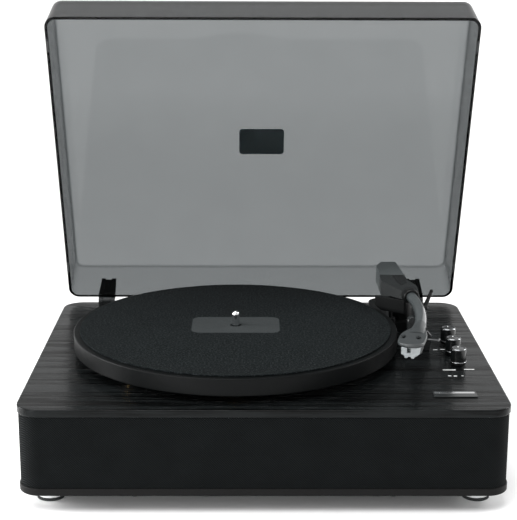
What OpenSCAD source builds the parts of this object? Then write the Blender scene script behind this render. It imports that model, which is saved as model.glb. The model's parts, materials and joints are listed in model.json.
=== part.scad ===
// Belt-drive record player with built-in speakers and a hinged, smoked dust cover.
// Units are millimetres. X points right, Y points from the front to the hinges, Z points up.
// The origin is on the floor, under the centre of the plinth.

/* [Plinth] */
// Width of the plinth across the front
plinth_w = 420; // [416:1:436]
// Depth of the plinth from front to back
plinth_d = 330; // [328:1:344]
// Radius of the plinth's four upright corners
corner_r = 20; // [14:1:26]
// Height of the speaker cloth between the two boards
grille_h = 64; // [60:1:76]
// Thickness of the top board
top_board_t = 7; // [6:0.5:10]
// Thickness of the bottom board
bottom_board_t = 6.5; // [5:0.5:9]
// Height of a foot, with its rubber pad
foot_h = 15; // [10:1:20]

/* [Platter] */
// Radius of the platter
platter_r = 153; // [150:0.5:154]
// Height of the platter's rim
platter_h = 15.5; // [14:0.5:18]
// Height of the platter's top above the top board
platter_rise = 23; // [22:0.5:24]
// Thickness of the felt mat
mat_t = 1.5; // [1:0.1:2]
// Radius of the spindle where a record drops over it
spindle_r = 3.6; // [3.5:0.05:3.6]

/* [Dust cover] */
// Width of the cover at its rim
cover_w = 413; // [412:1:414]
// Height of the cover
cover_h = 53; // [53:1:64]
// Thickness of the cover's walls and plate
cover_t = 3; // [2:0.25:3]
// Angle at which the open cover stands, measured from closed
cover_open = 69.5; // [0:0.5:85]

/* [Tonearm] */
// Radius of the arm tube
tube_r = 5.25; // [4:0.25:5.5]
// Height of the arm tube's centre above the top board
arm_rise = 40; // [39.5:0.25:41]
// Offset angle of the headshell from straight ahead
head_angle = 15; // [12:0.5:18]

/* [Controls] */
// Radius of a knob
knob_r = 7.2; // [5.5:0.1:8]
// Height of a knob
knob_h = 15.5; // [11:0.5:17]

/* [Hidden] */
$fn = 96;
eps = 0.01;

// Heights of the stacked boards
bottom_z0 = foot_h;
bottom_z1 = bottom_z0 + bottom_board_t;
top_z0 = bottom_z1 + grille_h;
top_z1 = top_z0 + top_board_t;

// Cabinet walls and the cloth wrapped over them
cloth_t = 1;
cloth_inset = 1;
frame_inset = cloth_inset + cloth_t;
frame_wall = 9;
back_y = plinth_d / 2 - frame_inset;
baffle_front_y = -plinth_d / 2 + frame_inset;
baffle_back_y = baffle_front_y + frame_wall;

// Loudspeakers: distance from the middle, and height
woofer_x = 123;
tweeter_x = 52.5;
speaker_z = bottom_z1 + grille_h / 2;
woofer_cone_r = 22;
tweeter_cone_r = 14;

// Platter, bearing and belt drive
platter_xy = [-25.5, 0];
platter_top = top_z1 + platter_rise;
platter_web_t = 4;
platter_skirt_t = 5;
drive_ring_r = 85;
drive_ring_t = 3;
hub_r = 14;
shaft_r = 4;
running_gap = 0.05;
bearing_r = 10;
bearing_floor_z = top_z0 - 25.5;
pulley_distance = 118;
pulley_angle = 215;
pulley_xy = platter_xy + pulley_distance * [cos(pulley_angle), sin(pulley_angle)];
pulley_r = 6;
belt_t = 0.8;
belt_gap = 0.3;
belt_z0 = top_z1 + 9;
belt_h = 5;

// Feet, screws and drivers' screws
foot_r = 14;
pad_t = 2;
foot_x = plinth_w / 2 - 24;
foot_y = plinth_d / 2 - 35;
wall_line = frame_inset + frame_wall / 2;
screw_r = 1.7;
screw_head_r = 3.5;

// Dust cover: it is drawn closed, then turned open about the hinge pins
cover_gap = 1;
cover_rim_z = top_z1 + cover_gap;
cover_back_y = plinth_d / 2;
cover_front_y = -plinth_d / 2 + 4.5;
cover_corner_r = 11;
cover_front_draft = 6;
cover_back_draft = 3;
hinge_yz = [plinth_d / 2 + 3.7, top_z1 + 1.5];
hinge_x = 166.5;
leaf_w_low = 17.5;
leaf_w_high = 15.6;
leaf_t = 6;
leaf_top = 31;
knuckle_r = 3.6;
ear_r = 3.3;
knuckle_w = 9;
ear_low_z = top_z1 - 5;
hinge_pin_r = 1.5;
joint_gap = 0.35;

// Tonearm: the pivot, then the path of the tube's centre line in plan
pivot_xy = [141, 81];
arm_z = top_z1 + arm_rise;
tube_start_angle = 6.2;
tube_end_angle = 11.2;
bend_start = [146.8, 41];
bend_end_y = -55;
bend_r = (bend_start.y - bend_end_y) / (sin(tube_start_angle) + sin(tube_end_angle));
bend_centre = bend_start - bend_r * [cos(tube_start_angle), sin(tube_start_angle)];
head_origin = bend_centre + bend_r * [cos(-tube_end_angle), sin(-tube_end_angle)];
head_shift = -2;
head_top = arm_z + 1.5;
head_t = 4;
head_under = head_top - head_t;
neck_l = 6;
yoke_blade_t = 5;
yoke_blade_l = 10;
weight_low = [125.5, 96];
weight_high = [141, 134];
weight_gap = 0.3;
axle_r = 1.5;
box_top = top_z1 + 48;
box_low = top_z1 + 31;

// Lifter bar beside the pivot, and the lever that works it
lifter_ends = [[141.5, 53], [115.5, 69.5]];
lifter_xy = (lifter_ends[0] + lifter_ends[1]) / 2;
lifter_top = arm_z - tube_r - 0.6;
lifter_bar_h = 14;
lifter_bar_t = 4;
lifter_stem_r = 1.7;
lever_yz = [57, top_z1 + 25];
lever_bracket_x = [153, 159.5];

// Arm rest under the tube
rest_xy = [148.6, 0];
rest_l = 8;

// Knobs, from the back of the plinth to the front
knob_x = 180.3;
knob_y = [18.5, -13.5, -45.5];
knob_gap = 1;
stem_r = 3;
bushing_r = 4;

// Connector panel at the back
panel_x = [5, 135];
panel_z = [bottom_z1 + 10, bottom_z1 + 54];
panel_t = 2;
jack_z = (panel_z[0] + panel_z[1]) / 2;
rca_x = [30, 50];
aux_x = 78;
dc_x = 108;

// ---- Shapes used by several sub-parts ----

// Flat rectangle with four round corners
module rounded_rect(w, d, r) {
    square([w - 2 * r, d], center = true);
    square([w, d - 2 * r], center = true);
    for (sx = [-1, 1], sy = [-1, 1])
        translate([sx * (w / 2 - r), sy * (d / 2 - r)])
            circle(r);
}

// Board with round upright corners, drawn in from the plinth's outline by inset
module plinth_slab(inset, z0, z1, corner = corner_r) {
    translate([0, 0, z0])
        linear_extrude(z1 - z0)
            rounded_rect(plinth_w - 2 * inset, plinth_d - 2 * inset, corner - inset);
}

module block(low, high) {
    translate(low)
        cube(high - low);
}

module post(xy, r, z0, z1) {
    translate([xy.x, xy.y, z0])
        cylinder(r = r, h = z1 - z0);
}

// Round bar along X
module x_bar(y, z, r, x0, x1) {
    translate([x0, y, z])
        rotate([0, 90, 0])
            cylinder(r = r, h = x1 - x0);
}

// Round bar along Y
module y_bar(x, z, r, y0, y1) {
    translate([x, y0, z])
        rotate([-90, 0, 0])
            cylinder(r = r, h = y1 - y0);
}

// Polygon in Y and Z, pulled out along X
module side_profile(points, x0, x1) {
    translate([x0, 0, 0])
        rotate([90, 0, 90])
            linear_extrude(x1 - x0)
                polygon(points);
}

// Polygon in X and Z, pulled out along Y
module front_profile(points, y0, y1) {
    translate([0, y1, 0])
        rotate([90, 0, 0])
            linear_extrude(y1 - y0)
                polygon(points);
}

// ---- Cabinet ----

module cabinet_screw_places() {
    for (x = [-110, 110], side = [-1, 1])
        translate([x, side * (plinth_d / 2 - wall_line), bottom_z0])
            children();
    for (y = [-90, 90], side = [-1, 1])
        translate([side * (plinth_w / 2 - wall_line), y, bottom_z0])
            children();
}

module bottom_board() {
    color([0.11, 0.11, 0.115])
        difference() {
            plinth_slab(0, bottom_z0, bottom_z1);
            cabinet_screw_places()
                translate([0, 0, -eps])
                    cylinder(r = screw_r + 0.1, h = bottom_board_t + 2 * eps);
        }
}

module cabinet_frame() {
    color([0.1, 0.1, 0.1])
        difference() {
            plinth_slab(frame_inset, bottom_z1, top_z0);
            plinth_slab(frame_inset + frame_wall, bottom_z1 - 1, top_z0 + 1);
            for (side = [-1, 1]) {
                y_bar(side * woofer_x, speaker_z, woofer_cone_r, baffle_front_y - 1, baffle_back_y + 1);
                y_bar(side * tweeter_x, speaker_z, tweeter_cone_r, baffle_front_y - 1, baffle_back_y + 1);
                hinge_screw_holes(side);
            }
            block([panel_x[0], back_y - frame_wall - 1, panel_z[0]], [panel_x[1], back_y + 1, panel_z[1]]);
            cabinet_screw_places()
                cylinder(r = screw_r + 0.1, h = bottom_board_t + 11);
        }
}

module top_board() {
    color([0.07, 0.07, 0.07])
        difference() {
            plinth_slab(0, top_z0, top_z1);
            post(platter_xy, bearing_r + 0.2, top_z0 - 1, top_z1 + 1);
            post(pulley_xy, 12, top_z0 - 1, top_z1 + 1);
            for (y = knob_y)
                post([knob_x, y], bushing_r + 0.2, top_z0 - 1, top_z1 + 1);
        }
}

// Cloth round the front and the sides; it ends on the back wall
module grille_cloth() {
    back_reach = 26;
    color([0.05, 0.05, 0.05])
        difference() {
            plinth_slab(cloth_inset, bottom_z1, top_z0);
            plinth_slab(frame_inset, bottom_z1 - 1, top_z0 + 1);
            block(
                [-plinth_w / 2 + back_reach, 0, bottom_z1 - 1],
                [plinth_w / 2 - back_reach, plinth_d, top_z0 + 1]
            );
        }
}

module cabinet_screws() {
    head_h = 1.5;
    color("dimgray")
        cabinet_screw_places() {
            translate([0, 0, -head_h])
                cylinder(r = screw_head_r, h = head_h);
            cylinder(r = screw_r, h = bottom_board_t + 10);
        }
}

// ---- Loudspeakers: local Z points from the baffle into the cabinet ----

module driver_place(x) {
    translate([x, baffle_back_y, speaker_z])
        rotate([-90, 0, 0])
            children();
}

// Steel basket with its flange and magnet, sized from the cone's radius
module driver_basket(x, cone_r) {
    flange_t = 2.5;
    flange_r = cone_r + 6.5;
    rim_r = cone_r + 4;
    magnet_r = 0.8 * cone_r;
    depth = 0.8 * cone_r;
    magnet_l = 0.4 * cone_r;
    wall = 2;
    color([0.25, 0.25, 0.27])
        driver_place(x)
            rotate_extrude()
                polygon([
                    [cone_r, 0], [flange_r, 0], [flange_r, flange_t], [rim_r, flange_t],
                    [magnet_r, depth], [magnet_r, depth + magnet_l], [0, depth + magnet_l],
                    [0, depth + wall], [magnet_r - 1.5 * wall, depth + wall],
                    [magnet_r - 1.5 * wall, depth], [rim_r - wall, flange_t], [cone_r, flange_t]
                ]);
}

// Paper cone with its roll surround, dust cap and voice-coil former
module driver_cone(x, cone_r) {
    edge_r = cone_r - 0.3;
    cap_r = 0.34 * cone_r;
    throat = 0.5 * cone_r;
    color([0.16, 0.16, 0.17])
        driver_place(x)
            rotate_extrude()
                polygon([
                    [0, throat - 0.3 * cone_r], [0.6 * cap_r, throat - 0.26 * cone_r],
                    [cap_r, throat - 0.14 * cone_r], [edge_r - 2, 1.4], [edge_r - 1, 0.5], [edge_r, 0.8],
                    [edge_r, 2], [edge_r - 1.2, 2.2], [cap_r, throat], [cap_r, throat + 3],
                    [cap_r - 1, throat + 3], [cap_r - 1, throat], [0, throat - 1]
                ]);
}

module woofer_left_basket() { driver_basket(-woofer_x, woofer_cone_r); }
module woofer_left_cone() { driver_cone(-woofer_x, woofer_cone_r); }
module woofer_right_basket() { driver_basket(woofer_x, woofer_cone_r); }
module woofer_right_cone() { driver_cone(woofer_x, woofer_cone_r); }
module tweeter_left_basket() { driver_basket(-tweeter_x, tweeter_cone_r); }
module tweeter_left_cone() { driver_cone(-tweeter_x, tweeter_cone_r); }
module tweeter_right_basket() { driver_basket(tweeter_x, tweeter_cone_r); }
module tweeter_right_cone() { driver_cone(tweeter_x, tweeter_cone_r); }

// ---- Feet ----

module foot(side_x, side_y) {
    color([0.75, 0.76, 0.77])
        translate([side_x * foot_x, side_y * foot_y, 0])
            rotate_extrude()
                polygon([
                    [0, pad_t], [foot_r - 1.5, pad_t], [foot_r, pad_t + 1.5],
                    [foot_r, foot_h - 2], [foot_r - 1, foot_h], [0, foot_h]
                ]);
}

module foot_front_left() { foot(-1, -1); }
module foot_front_right() { foot(1, -1); }
module foot_back_left() { foot(-1, 1); }
module foot_back_right() { foot(1, 1); }

module foot_pads() {
    color([0.06, 0.06, 0.06])
        for (sx = [-1, 1], sy = [-1, 1])
            post([sx * foot_x, sy * foot_y], foot_r - 2, 0, pad_t);
}

// ---- Drive and electronics under the top board ----

motor_top = top_z0 - 5;

module motor_can() {
    motor_r = 18;
    motor_l = 22;
    boss_r = 5;
    color([0.6, 0.61, 0.62])
        union() {
            post(pulley_xy, motor_r, motor_top - motor_l, motor_top);
            post(pulley_xy, boss_r, motor_top - motor_l - 2, motor_top - motor_l);
        }
}

// Plate that carries the motor on three rubber grommets
module motor_mount() {
    plate_t = 2;
    grommet_ring = 21;
    color([0.3, 0.3, 0.3])
        difference() {
            union() {
                post(pulley_xy, 26, motor_top, motor_top + plate_t);
                for (a = [0 : 120 : 240])
                    post(pulley_xy + grommet_ring * [cos(a), sin(a)], 4, motor_top + plate_t, top_z0);
            }
            post(pulley_xy, 3, motor_top - 1, motor_top + plate_t + 1);
        }
}

// Sleeve that the platter's shaft turns in
module bearing_housing() {
    flange_r = 25;
    flange_t = 3;
    floor_t = 2;
    color([0.72, 0.58, 0.3])
        difference() {
            union() {
                post(platter_xy, bearing_r, bearing_floor_z - floor_t, top_z1 + 3);
                post(platter_xy, flange_r, top_z0 - flange_t, top_z0);
            }
            post(platter_xy, shaft_r + running_gap, bearing_floor_z, top_z1 + 4);
        }
}

// Circuit board on four posts, with its larger components
module main_board() {
    board_low = [15, 55, bottom_z1 + 8];
    board_high = [145, 135, bottom_z1 + 9.6];
    post_in = 6;
    color([0.08, 0.3, 0.14])
        union() {
            block(board_low, board_high);
            for (x = [board_low.x + post_in, board_high.x - post_in])
                for (y = [board_low.y + post_in, board_high.y - post_in])
                    post([x, y], 3, bottom_z1, board_low.z);
            for (i = [0 : 3])
                post([40 + 14 * i, 75], 5, board_high.z, board_high.z + 14);
            block([100, 70, board_high.z], [130, 74, board_high.z + 25]);
            block([40, 98, board_high.z], [62, 120, board_high.z + 4]);
            block([90, 100, board_high.z], [118, 122, board_high.z + 16]);
        }
}

module potentiometers() {
    body_w = 16;
    body_h = 9;
    color([0.5, 0.5, 0.52])
        for (y = knob_y)
            difference() {
                union() {
                    block(
                        [knob_x - body_w / 2, y - body_w / 2, top_z0 - body_h],
                        [knob_x + body_w / 2, y + body_w / 2, top_z0]
                    );
                    post([knob_x, y], bushing_r, top_z0, top_z1);
                }
                post([knob_x, y], stem_r + running_gap, top_z0 - body_h + 2, top_z1 + 1);
            }
}

// ---- Connector panel at the back ----

rca_body_r = 6;
rca_barrel_r = 4.15;
aux_r = 4;
dc_r = 5.5;

module rear_panel() {
    color([0.13, 0.13, 0.14])
        difference() {
            block([panel_x[0], back_y - panel_t, panel_z[0]], [panel_x[1], back_y, panel_z[1]]);
            for (x = rca_x)
                y_bar(x, jack_z, rca_body_r, back_y - panel_t - 1, back_y + 1);
            y_bar(aux_x, jack_z, aux_r, back_y - panel_t - 1, back_y + 1);
            y_bar(dc_x, jack_z, dc_r, back_y - panel_t - 1, back_y + 1);
        }
}

// Pair of phono sockets for an outside amplifier
module rca_jacks() {
    body_l = 14;
    barrel_l = 8;
    contact_r = 1.6;
    color([0.8, 0.8, 0.8])
        for (x = rca_x)
            difference() {
                union() {
                    y_bar(x, jack_z, rca_body_r, back_y - body_l, back_y + 1);
                    y_bar(x, jack_z, rca_barrel_r, back_y + 1, back_y + 1 + barrel_l);
                }
                y_bar(x, jack_z, contact_r, back_y - 4, back_y + barrel_l + 2);
            }
}

// Socket for a 3.5 mm plug
module aux_jack() {
    color([0.15, 0.15, 0.16])
        difference() {
            y_bar(aux_x, jack_z, aux_r, back_y - 16, back_y + 1.5);
            y_bar(aux_x, jack_z, 1.8, back_y - 13, back_y + 2);
        }
}

// Socket for the power supply's barrel plug, with its centre contact
module dc_inlet() {
    color([0.1, 0.1, 0.1])
        union() {
            difference() {
                y_bar(dc_x, jack_z, dc_r, back_y - 13, back_y + 1);
                y_bar(dc_x, jack_z, 2.8, back_y - 10, back_y + 2);
            }
            y_bar(dc_x, jack_z, 1, back_y - 10 - eps, back_y - 2);
        }
}

// ---- Hinges ----

module hinge_screw_holes(side) {
    for (z = [top_z0 - 22, top_z0 - 9])
        y_bar(side * hinge_x, z, 1.3, back_y - 8, back_y + 8);
}

// Plate on the plinth's back edge with two ears for the pin
module hinge_base(side) {
    low_z = top_z0 - 28;
    ear_w = (leaf_w_low - knuckle_w) / 2 - joint_gap;
    plate_y = hinge_yz[0] - 0.7;
    color([0.09, 0.09, 0.09])
        difference() {
            union() {
                side_profile(
                    [
                        [back_y, low_z], [plate_y, low_z], [plate_y, ear_low_z],
                        [plinth_d / 2, ear_low_z], [plinth_d / 2, top_z0], [back_y, top_z0]
                    ],
                    side * hinge_x - leaf_w_low / 2, side * hinge_x + leaf_w_low / 2
                );
                for (ear = [-1, 1])
                    translate([side * hinge_x + ear * (leaf_w_low - ear_w) / 2, 0, 0])
                        hinge_ear(ear_w);
            }
            x_bar(hinge_yz[0], hinge_yz[1], hinge_pin_r, -plinth_w, plinth_w);
            hinge_screw_holes(side);
        }
}

module hinge_ear(ear_w) {
    union() {
        x_bar(hinge_yz[0], hinge_yz[1], ear_r, -ear_w / 2, ear_w / 2);
        block([-ear_w / 2, hinge_yz[0] - ear_r, ear_low_z], [ear_w / 2, hinge_yz[0] + ear_r, hinge_yz[1]]);
    }
}

module hinge_base_left() { hinge_base(-1); }
module hinge_base_right() { hinge_base(1); }

module hinge_pins() {
    color([0.7, 0.7, 0.72])
        for (side = [-1, 1])
            x_bar(
                hinge_yz[0], hinge_yz[1], hinge_pin_r,
                side * hinge_x - leaf_w_low / 2, side * hinge_x + leaf_w_low / 2
            );
}

module hinge_screws() {
    head_y = hinge_yz[0] - 0.7;
    color([0.35, 0.35, 0.36])
        for (side = [-1, 1], z = [top_z0 - 22, top_z0 - 9]) {
            y_bar(side * hinge_x, z, 2.6, head_y, head_y + 1.4);
            y_bar(side * hinge_x, z, 1.2, back_y - 7.5, head_y);
        }
}

// ---- Dust cover, drawn closed inside open_cover() ----

module open_cover() {
    translate([0, hinge_yz[0], hinge_yz[1]])
        rotate([-cover_open, 0, 0])
            translate([0, -hinge_yz[0], -hinge_yz[1]])
                children();
}

// Solid block with the cover's outline and its sloping front and back, drawn in by inset
module cover_form(inset, z0, z1) {
    depth = cover_back_y - cover_front_y;
    rise = z1 - cover_rim_z;
    intersection() {
        translate([0, (cover_back_y + cover_front_y) / 2, z0])
            linear_extrude(z1 - z0)
                rounded_rect(cover_w - 2 * inset, depth - 2 * inset, cover_corner_r - inset);
        side_profile(
            [
                [cover_front_y + inset - 1, cover_rim_z - 2],
                [cover_front_y + inset, cover_rim_z],
                [cover_front_y + inset + cover_front_draft * rise / cover_h, z1],
                [cover_back_y - inset - cover_back_draft * rise / cover_h, z1],
                [cover_back_y - inset, cover_rim_z],
                [cover_back_y - inset + 1, cover_rim_z - 2]
            ],
            -plinth_w, plinth_w
        );
    }
}

module cover_shell() {
    color([0.35, 0.36, 0.36, 0.55])
        open_cover()
            difference() {
                cover_form(0, cover_rim_z, cover_rim_z + cover_h);
                cover_form(cover_t, cover_rim_z - 1, cover_rim_z + cover_h - cover_t);
            }
}

// Plain dark label on the cover's outside
module cover_label() {
    label_w = 46.6;
    label_l = 30;
    color([0.14, 0.15, 0.15])
        open_cover()
            translate([0, (cover_back_y + cover_front_y) / 2, cover_rim_z + cover_h])
                linear_extrude(0.4)
                    rounded_rect(label_w, label_l, 3.5);
}

// Hinge leaf: a channel behind the cover's back wall, above a knuckle on the pin
module hinge_leaf(side) {
    foot_z = cover_rim_z + 4.5;
    slope = cover_back_draft / cover_h;
    top_z = cover_rim_z + leaf_top;
    wall_low = cover_back_y - slope * (foot_z - cover_rim_z);
    wall_high = cover_back_y - slope * leaf_top;
    x0 = side * hinge_x;
    color([0.08, 0.08, 0.08])
        open_cover()
            difference() {
                union() {
                    intersection() {
                        side_profile(
                            [
                                [wall_low, foot_z], [wall_low + leaf_t, foot_z],
                                [wall_high + leaf_t - 1.5, top_z], [wall_high, top_z]
                            ],
                            x0 - leaf_w_low, x0 + leaf_w_low
                        );
                        front_profile(
                            [
                                [x0 - leaf_w_low / 2, foot_z], [x0 + leaf_w_low / 2, foot_z],
                                [x0 + leaf_w_high / 2, top_z], [x0 - leaf_w_high / 2, top_z]
                            ],
                            0, plinth_d
                        );
                    }
                    x_bar(hinge_yz[0], hinge_yz[1], knuckle_r, x0 - knuckle_w / 2, x0 + knuckle_w / 2);
                    block(
                        [x0 - knuckle_w / 2, hinge_yz[0] - 2, hinge_yz[1]],
                        [x0 + knuckle_w / 2, hinge_yz[0] + 2, foot_z + 1]
                    );
                }
                x_bar(hinge_yz[0], hinge_yz[1], hinge_pin_r + running_gap, x0 - knuckle_w, x0 + knuckle_w);
                block([x0 - 3.4, 0, foot_z + 4], [x0 + 3.4, cover_back_y - 0.3, top_z + 1]);
            }
}

module hinge_leaf_left() { hinge_leaf(-1); }
module hinge_leaf_right() { hinge_leaf(1); }

// Soft pads under the cover's rim
module cover_bumpers() {
    pad_l = 12;
    rim_mid = cover_w / 2 - cover_t / 2;
    color([0.75, 0.75, 0.72])
        open_cover()
            for (sx = [-1, 1], y = [cover_front_y + 30, cover_back_y - 40])
                block(
                    [sx * rim_mid - 1, y - pad_l / 2, cover_rim_z - 0.6],
                    [sx * rim_mid + 1, y + pad_l / 2, cover_rim_z]
                );
}

// ---- Platter ----

module platter_disc() {
    z0 = platter_top - platter_h;
    web_z = platter_top - platter_web_t;
    ring_z = top_z1 + 4.5;
    color([0.06, 0.06, 0.06])
        translate([platter_xy.x, platter_xy.y, 0])
            rotate_extrude($fn = 240)
                polygon([
                    [shaft_r, ring_z], [hub_r, ring_z], [hub_r, web_z],
                    [drive_ring_r - drive_ring_t, web_z], [drive_ring_r - drive_ring_t, ring_z],
                    [drive_ring_r, ring_z], [drive_ring_r, web_z],
                    [platter_r - platter_skirt_t, web_z], [platter_r - platter_skirt_t, z0],
                    [platter_r - 1.5, z0], [platter_r, z0 + 1.5],
                    [platter_r, platter_top - 1.2], [platter_r - 1.2, platter_top], [shaft_r, platter_top]
                ]);
}

module platter_mat() {
    mat_r = platter_r - 5.7;
    mat_hole_r = spindle_r + 1.6;
    color([0.09, 0.09, 0.09])
        translate([platter_xy.x, platter_xy.y, platter_top])
            difference() {
                cylinder(r = mat_r, h = mat_t, $fn = 240);
                translate([0, 0, -1])
                    cylinder(r = mat_hole_r, h = mat_t + 2);
            }
}

// Steel shaft, stepped down to the size of a record's hole, with a round tip
module spindle() {
    tip_z = top_z1 + 38.5;
    color([0.85, 0.85, 0.86])
        union() {
            post(platter_xy, shaft_r, bearing_floor_z + 0.3, platter_top);
            post(platter_xy, spindle_r, platter_top, tip_z - spindle_r);
            translate([platter_xy.x, platter_xy.y, tip_z - spindle_r])
                sphere(r = spindle_r);
        }
}

module motor_pulley() {
    flange_r = pulley_r + 1.5;
    flange_t = 1;
    z0 = belt_z0 - 2;
    z1 = belt_z0 + belt_h + 2;
    color([0.8, 0.65, 0.35])
        union() {
            post(pulley_xy, pulley_r, z0, z1);
            post(pulley_xy, flange_r, z0 - flange_t, z0);
            post(pulley_xy, flange_r, z1, z1 + flange_t);
            post(pulley_xy, 1, motor_top + 0.3, z0 - flange_t);
        }
}

// Points along an arc, both ends included
function arc_points(centre, r, from, to, steps) =
    [for (i = [0 : steps]) centre + r * [cos(from + (to - from) * i / steps), sin(from + (to - from) * i / steps)]];

// Outline of a loop pulled tight round two wheels, with the second one on the X axis
function loop_points(r1, r2, distance) =
    let (contact = acos((r1 - r2) / distance))
        concat(
            arc_points([distance, 0], r2, -contact, contact, 12),
            arc_points([0, 0], r1, contact, 360 - contact, 72)
        );

module drive_belt() {
    r1 = drive_ring_r + belt_gap;
    r2 = pulley_r + belt_gap;
    color([0.05, 0.05, 0.05])
        translate([platter_xy.x, platter_xy.y, belt_z0])
            rotate([0, 0, pulley_angle])
                difference() {
                    linear_extrude(belt_h)
                        polygon(loop_points(r1 + belt_t, r2 + belt_t, pulley_distance));
                    translate([0, 0, -1])
                        linear_extrude(belt_h + 2)
                            polygon(loop_points(r1, r2, pulley_distance));
                }
}

// ---- Tonearm base, lifter and rest ----

pedestal_r = 11;
pedestal_top = top_z1 + 25.5;
lifter_boss_top = top_z1 + 14;

module arm_base() {
    plate_t = 8.5;
    plate_mid = [137, 107];
    bore_floor = top_z1 + 5;
    color([0.05, 0.05, 0.055])
        difference() {
            union() {
                translate([plate_mid.x, plate_mid.y, top_z1])
                    linear_extrude(plate_t)
                        rounded_rect(47, 92, 16);
                post(pivot_xy, pedestal_r, top_z1, pedestal_top);
                post(lifter_xy, 5, top_z1, lifter_boss_top);
                block(
                    [lever_bracket_x[0], lever_yz[0] - 5, top_z1],
                    [lever_bracket_x[1], lever_yz[0] + 8, lever_yz[1]]
                );
                x_bar(lever_yz[0], lever_yz[1], 4, lever_bracket_x[0], lever_bracket_x[1]);
            }
            post(pivot_xy, stem_r + running_gap, bore_floor, pedestal_top + 1);
            post(lifter_xy, lifter_stem_r + running_gap, top_z1 + 2, lifter_boss_top + 1);
            x_bar(lever_yz[0], lever_yz[1], axle_r + running_gap, lever_bracket_x[0] + 1, lever_bracket_x[1] + 1);
        }
}

// Lever on a pin, leaning up, back and out to the right
module cue_lever() {
    hub_x = lever_bracket_x[1] + joint_gap;
    hub_w = 4;
    grip = [169, lever_yz[0] + 6, lever_yz[1] + 15.5];
    start = [hub_x + hub_w / 2, lever_yz[0], lever_yz[1]];
    along = grip - start;
    length = norm(along);
    color([0.04, 0.04, 0.04])
        union() {
            x_bar(lever_yz[0], lever_yz[1], axle_r, lever_bracket_x[0] + 1.3, hub_x);
            x_bar(lever_yz[0], lever_yz[1], 3.6, hub_x, hub_x + hub_w);
            translate(start)
                rotate([0, acos(along.z / length), atan2(along.y, along.x)])
                    cylinder(r1 = 2.4, r2 = 1.5, h = length);
            translate(grip)
                sphere(r = 1.9);
        }
}

// Bar under the arm tube, cut off below its free end, on a stem that slides in the arm base
module arm_lifter() {
    bar = lifter_ends[1] - lifter_ends[0];
    bar_angle = atan2(bar.y, bar.x);
    bar_l = norm(bar);
    low = lifter_top - lifter_bar_h;
    half_t = lifter_bar_t / 2;
    end_bevel = 1.4;
    end_cut = [6, 4.8];
    color([0.05, 0.05, 0.055])
        union() {
            translate([lifter_ends[0].x, lifter_ends[0].y, 0])
                rotate([0, 0, bar_angle])
                    intersection() {
                        translate([0, 0, low])
                            linear_extrude(lifter_bar_h)
                                polygon([
                                    [0, -half_t], [bar_l, -half_t], [bar_l + half_t, -half_t + end_bevel],
                                    [bar_l + half_t, half_t - end_bevel], [bar_l, half_t], [0, half_t],
                                    [-half_t, half_t - end_bevel], [-half_t, -half_t + end_bevel]
                                ]);
                        front_profile(
                            [
                                [-lifter_bar_t, low - 1], [bar_l - end_cut.x, low - 1],
                                [bar_l - end_cut.x, low], [bar_l + half_t, low + end_cut.y],
                                [bar_l + lifter_bar_t, low + end_cut.y], [bar_l + lifter_bar_t, lifter_top + 1],
                                [-lifter_bar_t, lifter_top + 1]
                            ],
                            -lifter_bar_t, lifter_bar_t
                        );
                    }
            post(lifter_xy, lifter_stem_r, top_z1 + 5.5, low + 1);
        }
}

// Post with a round left shoulder, a flared right foot and a hollow for the tube; the tube swings in over the shoulder
module arm_rest() {
    cradle_r = tube_r + 1;
    cradle_z = arm_z - 0.9;
    lip_top = arm_z - tube_r - 1.4;
    hook_top = arm_z - 1.5;
    shoulder_r = 5.5;
    left_w = 10.6;
    shoulder = [rest_xy.x - left_w + shoulder_r, lip_top - shoulder_r];
    color([0.2, 0.2, 0.21])
        difference() {
            front_profile(
                concat(
                    [
                        [rest_xy.x - left_w, top_z1], [rest_xy.x + 11, top_z1], [rest_xy.x + 12.9, top_z1 + 14],
                        [rest_xy.x + 8.2, top_z1 + 19.5], [rest_xy.x + 7.3, top_z1 + 26],
                        [rest_xy.x + 7.3, hook_top], [rest_xy.x, hook_top], [rest_xy.x, lip_top]
                    ],
                    arc_points(shoulder, shoulder_r, 90, 180, 8)
                ),
                rest_xy.y - rest_l / 2, rest_xy.y + rest_l / 2
            );
            y_bar(rest_xy.x, cradle_z, cradle_r, rest_xy.y - rest_l, rest_xy.y + rest_l);
        }
}

module badge_plate() {
    color([0.12, 0.12, 0.12])
        translate([165, -127.5, top_z1])
            linear_extrude(1)
                rounded_rect(38, 13, 1);
}

// ---- Tonearm ----

// Fork that turns on the pedestal: a shaft, a disc and a blade for the tilt axle
module arm_yoke() {
    disc_z = pedestal_top + 0.4;
    disc_t = 2;
    color([0.3, 0.3, 0.31])
        difference() {
            union() {
                post(pivot_xy, stem_r, top_z1 + 5.4, disc_z);
                post(pivot_xy, 9.5, disc_z, disc_z + disc_t);
                translate([pivot_xy.x - yoke_blade_t / 2, pivot_xy.y - yoke_blade_l / 2, disc_z + disc_t])
                    cube([yoke_blade_t, yoke_blade_l, arm_z + 3 - disc_z - disc_t]);
            }
            x_bar(pivot_xy.y, arm_z, axle_r + running_gap, pivot_xy.x - 8, pivot_xy.x + 8);
        }
}

module tilt_axle() {
    color([0.75, 0.75, 0.76])
        x_bar(pivot_xy.y, arm_z, axle_r, pivot_xy.x - 9, pivot_xy.x + 5.6);
}

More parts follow.
